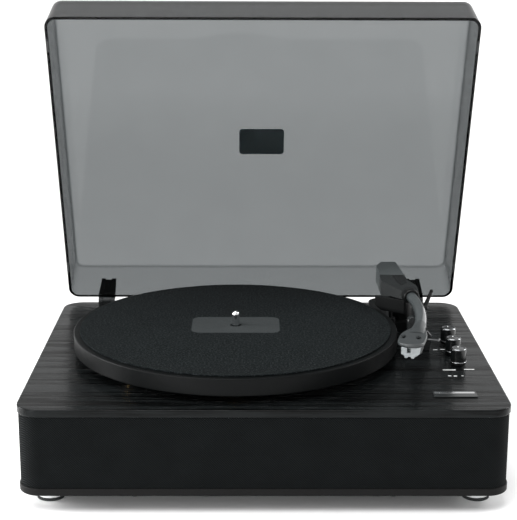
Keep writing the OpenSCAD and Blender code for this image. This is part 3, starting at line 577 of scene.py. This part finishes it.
def refined(node, edge):
    """A copy of a CAD node with its sharp edges rounded; it stands for the node."""
    weld = 0.002 * MM
    level = math.radians(0.6)
    crease = math.radians(28)
    bm = bmesh.new()
    bm.from_mesh(frame["nodes"][node].data)
    bmesh.ops.remove_doubles(bm, verts=bm.verts, dist=weld)
    bmesh.ops.dissolve_limit(bm, angle_limit=level, verts=bm.verts, edges=bm.edges)
    sharp = [e for e in bm.edges if len(e.link_faces) == 2 and e.calc_face_angle(0) > crease]
    bmesh.ops.bevel(
        bm, geom=sharp, offset=edge, segments=3, profile=0.5,
        affect="EDGES", clamp_overlap=True, harden_normals=False,
    )
    bmesh.ops.recalc_face_normals(bm, faces=bm.faces)
    mesh = bpy.data.meshes.new(f"{node}_shape")
    bm.to_mesh(mesh)
    bm.free()
    piece = place_piece(mesh, BODY_OF[node], SLOT_OF[node])
    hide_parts(node)


def cut(piece, cutters):
    """Takes the cutters out of a piece for good."""
    for cutter in cutters:
        modifier = piece.modifiers.new("cut", "BOOLEAN")
        modifier.operation = "DIFFERENCE"
        modifier.solver = "EXACT"
        modifier.object = cutter
    bpy.context.view_layer.update()
    seen = piece.evaluated_get(bpy.context.evaluated_depsgraph_get())
    shaped = bpy.data.meshes.new_from_object(seen)
    name = piece.data.name
    piece.modifiers.clear()
    piece.data = shaped
    piece.data.name = name
    level_normals(piece)
    for cutter in cutters:
        bpy.data.objects.remove(cutter)


# ---- Cabinet ----

def middle_and_size(node):
    """Middle and size of a CAD node's box."""
    low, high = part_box(node)
    return (low + high) / 2, high - low


def make_boards():
    """Top and bottom boards with softened edges."""
    corner = 20 * MM
    for node, material, bevel in (
        ("top_board", "black_ash_vinyl", 1.1 * MM),
        ("bottom_board", "black_paint", 0.8 * MM),
    ):
        low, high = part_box(node)
        size = high - low

        def outline(inset, size=size):
            return rounded_rect(size.x, size.y, corner, inset)

        board = slab(f"{node}_shape", outline, low.z, high.z, bevel, BODY_OF[node], material)
        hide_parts(node)


def make_cloth():
    """The cloth as one strip round the front and sides, with its ends turned onto the back."""
    low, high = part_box("grille_cloth")
    middle, size = middle_and_size("grille_cloth")
    thick = 1 * MM
    corner = 19 * MM
    end_x = 184 * MM
    loop = rounded_rect(size.x, size.y, corner, thick / 2, (0, middle.y), 12)
    count = len(loop) // 4
    left_back = loop[2 * count:3 * count]
    left_front = loop[3 * count:]
    right_front = loop[:count]
    right_back = loop[count:2 * count]
    back = high.y - thick / 2
    path = [(-end_x, back)] + left_back + left_front + right_front + right_back + [(end_x, back)]
    half = thick / 2 - 0.05 * MM
    z0, z1 = low.z, high.z
    tuck = 0.4 * MM
    section = [
        (-half, z0), (half - tuck, z0), (half, z0 + tuck), (half, middle.z),
        (half, z1 - tuck), (half - tuck, z1), (-half, z1), (-half, middle.z),
    ]
    rings = []
    for i, (x, y) in enumerate(path):
        ahead = Vector(path[min(i + 1, len(path) - 1)]) - Vector(path[max(i - 1, 0)])
        out = Vector((ahead.y, -ahead.x)).normalized()
        rings.append([(x + out.x * a, y + out.y * a, z) for a, z in section])
    cloth = solid("speaker_cloth", rings, "cabinet", "speaker_cloth")
    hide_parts("grille_cloth")


def make_feet():
    """Silver feet: a bright drum with a rounded lower edge."""
    for node in ("foot_front_left", "foot_front_right", "foot_back_left", "foot_back_right"):
        low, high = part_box(node)
        middle, size = middle_and_size(node)
        r = size.x / 2
        corners = [
            (0.2 * MM, low.z), (r - 2.6 * MM, low.z), (r, low.z + 4.5 * MM),
            (r, high.z - 2 * MM), (r - 0.8 * MM, high.z), (0.2 * MM, high.z),
        ]
        profile = rounded(corners, 2 * MM, 5)
        foot = lathe(f"{node}_shape", profile, (middle.x, middle.y), "cabinet", "foot_silver")
        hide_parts(node)


def make_badge():
    """A black plate with a silver inlay along its back edge."""
    low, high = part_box("badge_plate")
    middle, size = middle_and_size("badge_plate")

    def outline(inset):
        return rounded_rect(size.x, size.y, 1.2 * MM, inset, (middle.x, middle.y), 5)

    plate = slab("badge_shape", outline, low.z, high.z, 0.3 * MM, "cabinet", "badge_black")
    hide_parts("badge_plate")

    def strip(inset):
        return rounded_rect(size.x - 3 * MM, 4 * MM, 0.6 * MM, inset, (middle.x, middle.y + 3.5 * MM), 3)

    slab("badge_inlay", strip, high.z - 0.2 * MM, high.z + 0.08 * MM, 0.05 * MM, "cabinet", "spindle_steel")


def make_marks():
    """Plain printed dashes beside the knobs, each as (x, y, width, depth) in millimetres."""
    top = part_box("top_board")[1].z
    dashes = [
        (165.5, -1, 4.5, 1.3), (172.5, 0, 4.5, 1.3), (176, -3.5, 3, 1.2),
        (170, -60.5, 12, 2.2), (188.5, -59, 9.5, 1.6),
        (168, -77, 3, 2), (173, -77.5, 3, 2.2), (179.5, -77, 2, 1.2),
    ]
    for i, (x, y, width, depth) in enumerate(dashes):
        def outline(inset, x=x, y=y, width=width, depth=depth):
            return rounded_rect(width * MM, depth * MM, 0.5 * MM, inset, (x * MM, y * MM), 3)

        slab(
            f"print_mark_{i}", outline, top - 0.05 * MM, top + 0.06 * MM, 0.03 * MM,
            "cabinet", "print_white",
        )


def make_rear_details():
    """Coloured insulators round the two phono sockets."""
    low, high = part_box("rca_jacks")
    panel_y = high.y - 8 * MM
    height = (low.z + high.z) / 2
    inner_r, outer_r, thick = 4.3 * MM, 5.9 * MM, 1.4 * MM
    corners = [(inner_r, 0), (outer_r, 0), (outer_r, thick), (inner_r, thick)]
    profile = rounded(corners, 0.4 * MM, 3, closed=True)
    for name, x, material in (("left", 30 * MM, "insulator_white"), ("right", 50 * MM, "insulator_red")):
        rings = [[(x + a, panel_y + y, height + b) for a, b in circle(r, 48)] for r, y in profile]
        solid(f"phono_ring_{name}", rings, "cabinet", material, closed=True)


# ---- Platter ----

def make_platter():
    """Platter with its skirt and inner ring, the felt mat on it and the spindle through both."""
    low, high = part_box("platter_disc")
    middle, size = middle_and_size("platter_disc")
    r = size.x / 2
    centre = (middle.x, middle.y)
    bore = 4.05 * MM
    hub = 14 * MM
    ring_in, ring_out = 82 * MM, 85 * MM
    skirt_in = 148 * MM
    skirt_low = high.z - 15.5 * MM
    under = high.z - 4 * MM
    corners = [
        (bore, low.z), (hub, low.z), (hub, under), (ring_in, under), (ring_in, low.z),
        (ring_out, low.z), (ring_out, under), (skirt_in, under), (skirt_in, skirt_low),
        (r, skirt_low), (r, high.z), (bore, high.z),
    ]
    profile = rounded(corners, 1.1 * MM, 5, closed=True)
    disc = lathe("platter_shape", profile, centre, "platter", "platter_black", 256, closed=True)
    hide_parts("platter_disc")

    low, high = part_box("platter_mat")
    hole_r = 5.2 * MM
    mat_r = (high.x - low.x) / 2
    corners = [(hole_r, low.z), (mat_r, low.z), (mat_r, high.z), (hole_r, high.z)]
    profile = rounded(corners, 0.6 * MM, 4, closed=True)
    mat = lathe("felt_mat", profile, centre, "platter", "felt", 256, closed=True)
    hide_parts("platter_mat")

    low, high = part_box("spindle")
    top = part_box("platter_disc")[1].z
    tip_r = 3.6 * MM
    turns = [math.radians(6 * k) for k in range(15)]
    dome = [(tip_r * math.cos(a), high.z - tip_r + tip_r * math.sin(a)) for a in turns]
    profile = [(0.1 * MM, low.z), (4 * MM, low.z), (4 * MM, top), (tip_r, top + 0.3 * MM)] + dome
    post = lathe("spindle_shape", profile, centre, "platter", "spindle_steel", 64)
    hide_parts("spindle")


# ---- Dust cover ----

# The hinges' axis, and the cover as it lies when closed.
HINGE = Vector((0, 168.7 * MM, 94 * MM))
COVER_OPEN = (
    Matrix.Translation(HINGE) @ Matrix.Rotation(math.radians(-69.5), 4, "X") @ Matrix.Translation(-HINGE)
)
COVER_RIM = 93.5 * MM
COVER_HIGH = 53 * MM
COVER_FRONT, COVER_BACK = -160.5 * MM, 165 * MM
COVER_WIDE = 413 * MM
COVER_WALL = 3 * MM


def cover_ring(inset, z):
    """The closed cover's outline at a height, drawn in by inset; the end walls lean inwards."""
    share = (z - COVER_RIM) / COVER_HIGH
    front = COVER_FRONT + 6 * MM * share
    back = COVER_BACK - 3 * MM * share
    centre = (0, (front + back) / 2)
    outline = rounded_rect(COVER_WIDE, back - front, 11 * MM, inset, centre, 12)
    return [(x, y, z) for x, y in outline]


def make_cover():
    """One moulded shell: outer skin, rounded rim and inner skin, with fillets at the plate."""
    top = COVER_RIM + COVER_HIGH
    inner_top = top - COVER_WALL
    edge = roundover(1.8 * MM, 6)
    lip = roundover(0.7 * MM, 6)
    fillet = roundover(3 * MM, 6)
    rings = [cover_ring(inset, top - drop) for inset, drop in reversed(edge)]
    rings += [cover_ring(inset, COVER_RIM + drop) for inset, drop in lip]
    rings += [cover_ring(COVER_WALL - inset, COVER_RIM + drop) for inset, drop in reversed(lip)]
    rings += [cover_ring(COVER_WALL + inset, inner_top - drop) for inset, drop in fillet]
    shell = solid("cover_shape", rings, "dust_cover", "smoked_clear", move=COVER_OPEN, sharp=50)
    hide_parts("cover_shell")

    def outline(inset):
        return rounded_rect(46.6 * MM, 30 * MM, 3.5 * MM, inset, (0, (COVER_FRONT + COVER_BACK) / 2), 6)

    label = slab(
        "cover_label_shape", outline, top, top + 0.4 * MM, 0.15 * MM,
        "dust_cover", "label_dark", move=COVER_OPEN,
    )
    # The side against the smoked plate is pale, so that it reads as grey through the plate.
    # The outer side is dark.
    label.data.materials.append(LOOKS["label_back"])
    for face in label.data.polygons:
        if face.normal.y > 0.5:
            face.material_index = 1
    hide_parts("cover_label")


# ---- Tonearm ----

# The tube's centre line is an arc in the level plane at ARM_Z. It starts at BEND_START near the
# collar and ends at HEAD_ORIGIN, and the headshell is turned by HEAD_ANGLE about that end.
ARM_Z = 132.5 * MM
TUBE_R = 5.25 * MM
BEND_START = Vector((146.8, 41)) * MM
START_ANGLE = math.radians(6.2)
END_ANGLE = math.radians(11.2)
HEAD_ANGLE = math.radians(15)
BEND_R = 96 * MM / (math.sin(START_ANGLE) + math.sin(END_ANGLE))
BEND_CENTRE = BEND_START - BEND_R * Vector((math.cos(START_ANGLE), math.sin(START_ANGLE)))
HEAD_ORIGIN = BEND_CENTRE + BEND_R * Vector((math.cos(END_ANGLE), -math.sin(END_ANGLE)))
HEAD_TOP = ARM_Z + 1.5 * MM
HEAD_THICK = 4 * MM
NOSE = Vector((1, -48)) * MM
NOSE_R = 12 * MM
SLOT_X = (-7 * MM, 6.2 * MM)
SLOT_Y = -39.5 * MM
HEAD_SHIFT = 2 * MM
HEAD_PLACE = (
    Matrix.Translation((*HEAD_ORIGIN, 0))
    @ Matrix.Rotation(-HEAD_ANGLE, 4, "Z")
    @ Matrix.Translation((-HEAD_SHIFT, 0, 0))
)


def arm_point(angle):
    """A point on the tube's centre line; the angle is about the bend's centre."""
    return Vector((
        BEND_CENTRE.x + BEND_R * math.cos(angle), BEND_CENTRE.y + BEND_R * math.sin(angle), ARM_Z
    ))


def make_tube():
    """The bent pipe, and the grooved collar at its back end."""
    steps = 48
    first = START_ANGLE + math.radians(1)
    angles = [first - (first + END_ANGLE) * k / steps for k in range(steps + 1)]
    pipe = sweep("arm_pipe", [arm_point(a) for a in angles], circle(TUBE_R, 40), "tonearm", "tube_grey")
    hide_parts("arm_tube")

    ahead = Vector((math.sin(START_ANGLE), -math.cos(START_ANGLE), 0))
    start = Vector((*BEND_START, ARM_Z))
    # Along the tube from its start, and the radius there, in millimetres.
    stations = [
        (-11, 7.7), (-10.4, 8.0), (-7.5, 8.0), (-7.1, 7.6), (-6.5, 7.6), (-6.1, 8.0),
        (-1.2, 8.0), (-0.5, 7.7), (0, 7.0), (0, 5.9), (-0.8, 5.5),
    ]
    flat = -TUBE_R - 0.2 * MM
    rings = []
    side = Vector((ahead.y, -ahead.x, 0))
    for along, radius in stations:
        ring = []
        for a, b in circle(radius * MM, 48):
            ring.append(tuple(start + ahead * along * MM + side * a + Vector((0, 0, max(b, flat)))))
        rings.append(ring)
    collar = solid("arm_collar", rings, "tonearm", "arm_plastic")
    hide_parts("arm_tube")


def pear(inset):
    """Headshell outline in its own frame, from the right of the neck round the nose to its left."""
    count = 24
    neck_y = -6 * MM
    tail = 5.4 * MM
    bulge_right, bulge_left = 2.0 * MM, -3.3 * MM
    lean = math.asin((NOSE_R - tail) / (neck_y - NOSE.y))
    r = NOSE_R - inset
    arc = []
    for k in range(count + 1):
        a = lean - (math.pi + 2 * lean) * k / count
        arc.append((NOSE.x + r * math.cos(a), NOSE.y + r * math.sin(a)))
    neck_edge = neck_y - 0.3 * inset
    right = (HEAD_SHIFT + tail - inset, neck_edge)
    left = (HEAD_SHIFT - tail + inset, neck_edge)

    def side(a, b, bulge):
        points = []
        for k in range(1, 8):
            t = k / 8
            push = bulge * math.sin(math.pi * t)
            points.append((a[0] + (b[0] - a[0]) * t + push, a[1] + (b[1] - a[1]) * t))
        return points

    return [right] + side(right, arc[0], bulge_right) + arc + side(arc[-1], left, bulge_left) + [left]


def make_head():
    """The headshell's plate with its two slots, its neck and its screws."""
    z1 = HEAD_TOP
    z0 = HEAD_TOP - HEAD_THICK
    crown = 0.6 * MM
    plate = slab(
        "headshell_plate", pear, z0, z1 - crown, 1.1 * MM,
        "tonearm", "head_grey", crown=crown, move=HEAD_PLACE,
    )
    cutters = []
    for x in SLOT_X:
        def slot(inset, x=x):
            return rounded_rect(2.8 * MM, 7.6 * MM, 1.3 * MM, inset, (x, SLOT_Y), 5)

        cutters.append(slab(
            "slot", slot, z0 - 2 * MM, z1 + 2 * MM, 0.01 * MM, "tonearm", "head_grey", move=HEAD_PLACE
        ))
    cut(plate, cutters)
    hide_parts("headshell")
    make_neck()
    # Radius, and height above the plate's top, in millimetres.
    corners = [
        (0.05, -4.1), (1.1, -4.1), (1.1, 0), (2.1, 0), (2.1, 1.1), (0.9, 1.1), (0.9, 0.6), (0.05, 0.6),
    ]
    profile = rounded([(r * MM, z1 + z * MM) for r, z in corners], 0.25 * MM, 3)
    for side, x in zip(("left", "right"), SLOT_X):
        centre = HEAD_PLACE @ Vector((x, SLOT_Y, 0))
        screw = lathe(f"headshell_screw_{side}", profile, (centre.x, centre.y), "tonearm", "screw_black", 32)
        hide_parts("headshell_screws")


def make_neck():
    """The sleeve that flattens from the round tube into the plate."""
    # Y in the headshell's frame, half width, rise above and fall below the axis, in millimetres.
    stations = [
        (1.0, 5.35, 5.35, 5.35), (0.5, 5.7, 5.7, 5.7), (-5, 5.7, 5.6, 5.6), (-10, 6.0, 5.1, 5.4),
        (-15, 6.6, 4.2, 5.0), (-20, 7.2, 3.2, 4.0), (-25, 7.6, 2.2, 3.0),
    ]
    rings = []
    for y, wide, high, deep in stations:
        ring = []
        for a, b in circle(1, 40):
            lift = (high if b > 0 else deep) * b * MM
            ring.append(tuple(HEAD_PLACE @ Vector((HEAD_SHIFT + wide * a * MM, y * MM, ARM_Z + lift))))
        rings.append(ring)
    neck = solid("headshell_neck", rings, "tonearm", "head_grey")
    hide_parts("headshell")


def make_housing_shade_patch():
    """A dark glossy sheet let into the slope before the housing's fold, as painted shade of the dark facet
    there.
    """
    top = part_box("counterweight_housing")[1].z
    corners = [(132.9, 97.2), (143.6, 98), (146.4, 84), (145.4, 73.5), (139.3, 66.5), (135.9, 77.3)]
    slope = 3 / 39

    def ring(lift):
        points = []
        for x, y in rounded(corners, 0.8, 3, closed=True):
            points.append((x * MM, y * MM, top - slope * (HOUSING_FOLD - y * MM) + lift))
        return points

    # Painted shade, laid as a thin sheet just over the slope.
    solid("housing_shade_patch", [ring(-0.4 * MM), ring(0.06 * MM), ring(0.12 * MM)], "tonearm", "shade_patch_black")


def make_finger_lift():
    """A thin bar whose end is rolled into a small bead."""
    thick = 1.3 * MM
    middle = HEAD_TOP - HEAD_THICK - thick / 2
    centre_y = -27 * MM
    half_w, half_t = 1.8 * MM, 0.45 * MM
    corners = [(-half_w, -half_t), (half_w, -half_t), (half_w, half_t), (-half_w, half_t)]
    section = rounded(corners, 0.35 * MM, 3, closed=True)
    path = [HEAD_PLACE @ Vector((x * MM, centre_y, middle)) for x in (5.5, 10, 16, 21, 22)]
    bar = sweep("finger_bar", path, section, "tonearm", "finger_metal")
    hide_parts("finger_lift")
    bead_path = [
        HEAD_PLACE @ Vector((22.5 * MM, centre_y + y * half_w, middle)) for y in (-1, -0.9, 0.9, 1)
    ]
    rings = []
    for (x, y, z), r in zip(bead_path, (0.8, 1.1, 1.1, 0.8)):
        rings.append([(x + r * a, y, z + r * b) for a, b in circle(MM, 24)])
    bead = solid("finger_bead", rings, "tonearm", "finger_metal")
    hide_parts("finger_lift")


# ---- Knobs ----

def make_knobs():
    """Black barrels on their shafts, each with a metal cap, a metal band and a pale pointer."""
    r = 7.2 * MM
    knob_high = 15.5 * MM
    shaft_r = 3 * MM
    core = 0.1 * MM
    for node in ("knob_source", "knob_speed", "knob_volume"):
        low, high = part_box(node)
        middle = (low + high) / 2
        centre = (middle.x, middle.y)
        body = BODY_OF[node]
        top = high.z
        foot = top - knob_high

        shaft = [(core, low.z), (shaft_r, low.z), (shaft_r, foot)]
        side = [(3.2 * MM, foot), (r, foot), (r, top - 0.9 * MM), (r - 0.9 * MM, top - 0.9 * MM)]
        lid = [(r - 1.1 * MM, top - 1.2 * MM), (core, top - 1.2 * MM)]
        profile = shaft + rounded(side, 0.35 * MM, 3) + lid
        barrel = lathe(f"{node}_barrel", profile, centre, body, "knob_black", 72)
        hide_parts(node)

        cap_edge = r - 0.05 * MM
        cap = [
            (core, top - 1.4 * MM), (cap_edge, top - 1.4 * MM), (cap_edge, top - 0.9 * MM),
            (r - 0.9 * MM, top), (r - 1.6 * MM, top), (r - 2.1 * MM, top - 0.35 * MM),
            (core, top - 0.35 * MM),
        ]
        lathe(f"{node}_cap", rounded(cap, 0.25 * MM, 3), centre, body, "knob_cap", 72)

        band_in, band_out = r - 0.4 * MM, r + 0.68 * MM
        band = [
            (band_in, foot + 1.7 * MM), (band_out, foot + 2.0 * MM),
            (band_out, foot + 3.1 * MM), (band_in, foot + 3.4 * MM),
        ]
        profile = rounded(band, 0.35 * MM, 3, closed=True)
        lathe(f"{node}_band", profile, centre, body, "knob_trim", 72, closed=True)

        def pointer(inset, x=middle.x, y=middle.y + r - 3.7 * MM):
            return rounded_rect(0.8 * MM, 2.6 * MM, 0.3 * MM, inset, (x, y), 3)

        slab(f"{node}_pointer", pointer, top - 0.5 * MM, top - 0.2 * MM, 0.05 * MM, body, "print_white")


# ---- Build ----

LOOKS = make_materials()
for node, piece in frame["nodes"].items():
    piece.data.materials.clear()
    piece.data.materials.append(LOOKS[SLOT_OF[node]])

make_camera()
make_floor()
make_world(0.8)
make_sun(60, 70, 50, 2.7)
make_lamp("rim_right", (1.2, 0.5, 0.8), (0.12, 0, 0.12), (0.25, 0.5), 8)
make_lamp("side_left", (-1.2, 0.0, 0.4), (-0.1, 0, 0.1), (0.5, 0.4), 14)
make_lamp("front_low", (-0.8, -1.0, 0.2), (-0.1, -0.1, 0.02), (0.5, 0.25), 4.5)
bpy.context.scene.view_settings.view_transform = "Standard"

make_boards()
make_cloth()
make_feet()
make_badge()
make_marks()
make_rear_details()
make_platter()
make_cover()
make_tube()
make_head()
make_housing_shade_patch()
make_finger_lift()
make_knobs()
for node, edge in (
    ("counterweight_housing", 0.7), ("arm_base", 0.7), ("arm_rest", 0.8), ("arm_lifter", 0.5),
    ("hinge_leaf_left", 0.4), ("hinge_leaf_right", 0.4), ("hinge_base_left", 0.4), ("hinge_base_right", 0.4),
    ("cartridge_body", 0.5), ("stylus_guard", 0.35), ("rear_panel", 0.4), ("arm_yoke", 0.3),
):
    refined(node, edge * MM)
